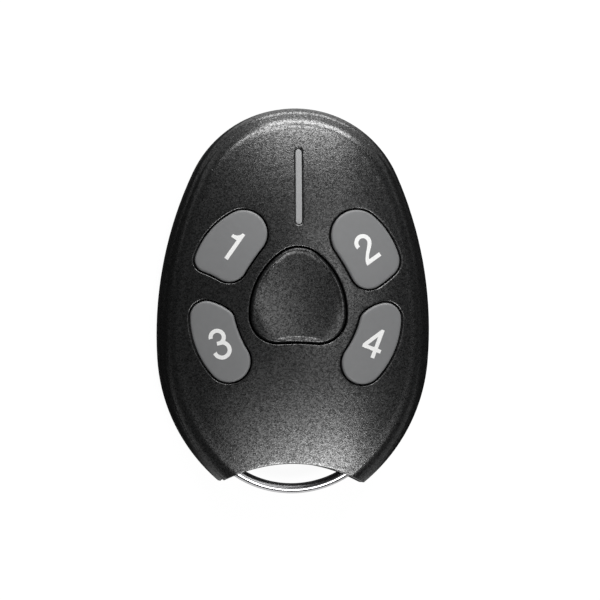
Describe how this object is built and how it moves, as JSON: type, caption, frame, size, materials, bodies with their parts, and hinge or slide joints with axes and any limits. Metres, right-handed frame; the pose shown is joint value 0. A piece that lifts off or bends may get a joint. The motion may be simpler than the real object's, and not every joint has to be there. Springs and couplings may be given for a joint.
{
  "type": "key fob remote control",
  "caption": "Egg-shaped key fob remote control with numbered keys round a dished centre key, a light bar and a hinged wire bail for a key ring.",
  "frame": {"origin": "under the middle of the object's bounding box, on the flat back face", "axes": "+X to the right seen from the keys, +Y along the case towards the light bar, +Z out of the front where the keys are"},
  "size_m": [0.04, 0.0566, 0.0134],
  "materials": {
    "case_black": "fine spark texture",
    "key_grey": "smooth matte",
    "light_bar_grey": "frosted translucent",
    "bail_chrome": "polished",
    "screw_steel": "zinc plated",
    "board_green": "solder mask",
    "lamp_white": "clear resin",
    "cell_can": "satin",
    "nickel_strip": "nickel plated",
    "chip_black": "moulded",
    "ceramic_tan": "ceramic",
    "tinned_wire": "tinned",
    "switch_black": "moulded"
  },
  "bodies": {
    "case": {"front_cover": "case_black", "rear_cover": "case_black", "light_pipe": "light_bar_grey", "circuit_board": "board_green", "status_led": "lamp_white", "coin_cell": "cell_can", "positive_clip": "nickel_strip", "negative_contact": "nickel_strip", "radio_chip": "chip_black", "encoder_chip": "chip_black", "crystal": "nickel_strip", "chip_parts": "ceramic_tan", "antenna": "tinned_wire", "switch_base_1": "switch_black", "switch_base_2": "switch_black", "switch_base_3": "switch_black", "switch_base_4": "switch_black", "switch_base_5": "switch_black", "switch_cover_1": "nickel_strip", "switch_cover_2": "nickel_strip", "switch_cover_3": "nickel_strip", "switch_cover_4": "nickel_strip", "switch_cover_5": "nickel_strip", "case_screws": "screw_steel"},
    "key_1": {"key_1": "key_grey"},
    "key_2": {"key_2": "key_grey"},
    "key_3": {"key_3": "key_grey"},
    "key_4": {"key_4": "key_grey"},
    "centre_key": {"centre_key": "case_black"},
    "plunger_1": {"switch_plunger_1": "switch_black"},
    "plunger_2": {"switch_plunger_2": "switch_black"},
    "plunger_3": {"switch_plunger_3": "switch_black"},
    "plunger_4": {"switch_plunger_4": "switch_black"},
    "plunger_5": {"switch_plunger_5": "switch_black"},
    "bail": {"key_bail": "bail_chrome"}
  },
  "joints": [
    {"name": "key_1_press", "type": "slide", "parent": "case", "child": "key_1", "axis": [0, 0, -1], "range_m": [0, 0.0004], "stiffness_N_per_m": 2500},
    {"name": "key_2_press", "type": "slide", "parent": "case", "child": "key_2", "axis": [0, 0, -1], "range_m": [0, 0.0004], "stiffness_N_per_m": 2500},
    {"name": "key_3_press", "type": "slide", "parent": "case", "child": "key_3", "axis": [0, 0, -1], "range_m": [0, 0.0004], "stiffness_N_per_m": 2500},
    {"name": "key_4_press", "type": "slide", "parent": "case", "child": "key_4", "axis": [0, 0, -1], "range_m": [0, 0.0004], "stiffness_N_per_m": 2500},
    {"name": "centre_key_press", "type": "slide", "parent": "case", "child": "centre_key", "axis": [0, 0, -1], "range_m": [0, 0.0004], "stiffness_N_per_m": 2500},
    {"name": "plunger_1_press", "type": "slide", "parent": "case", "child": "plunger_1", "axis": [0, 0, -1], "range_m": [0, 0.0004]},
    {"name": "plunger_2_press", "type": "slide", "parent": "case", "child": "plunger_2", "axis": [0, 0, -1], "range_m": [0, 0.0004]},
    {"name": "plunger_3_press", "type": "slide", "parent": "case", "child": "plunger_3", "axis": [0, 0, -1], "range_m": [0, 0.0004]},
    {"name": "plunger_4_press", "type": "slide", "parent": "case", "child": "plunger_4", "axis": [0, 0, -1], "range_m": [0, 0.0004]},
    {"name": "plunger_5_press", "type": "slide", "parent": "case", "child": "plunger_5", "axis": [0, 0, -1], "range_m": [0, 0.0004]},
    {"name": "bail_swing", "type": "hinge", "parent": "case", "child": "bail", "pos_m": [0, -0.0205, 0.005], "axis": [-1, 0, 0], "range_deg": [0, 27]}
  ],
  "couplings": [
    {"joint": "plunger_1_press", "follows": "key_1_press", "ratio": 1},
    {"joint": "plunger_2_press", "follows": "key_2_press", "ratio": 1},
    {"joint": "plunger_3_press", "follows": "key_3_press", "ratio": 1},
    {"joint": "plunger_4_press", "follows": "key_4_press", "ratio": 1},
    {"joint": "plunger_5_press", "follows": "centre_key_press", "ratio": 1}
  ]
}
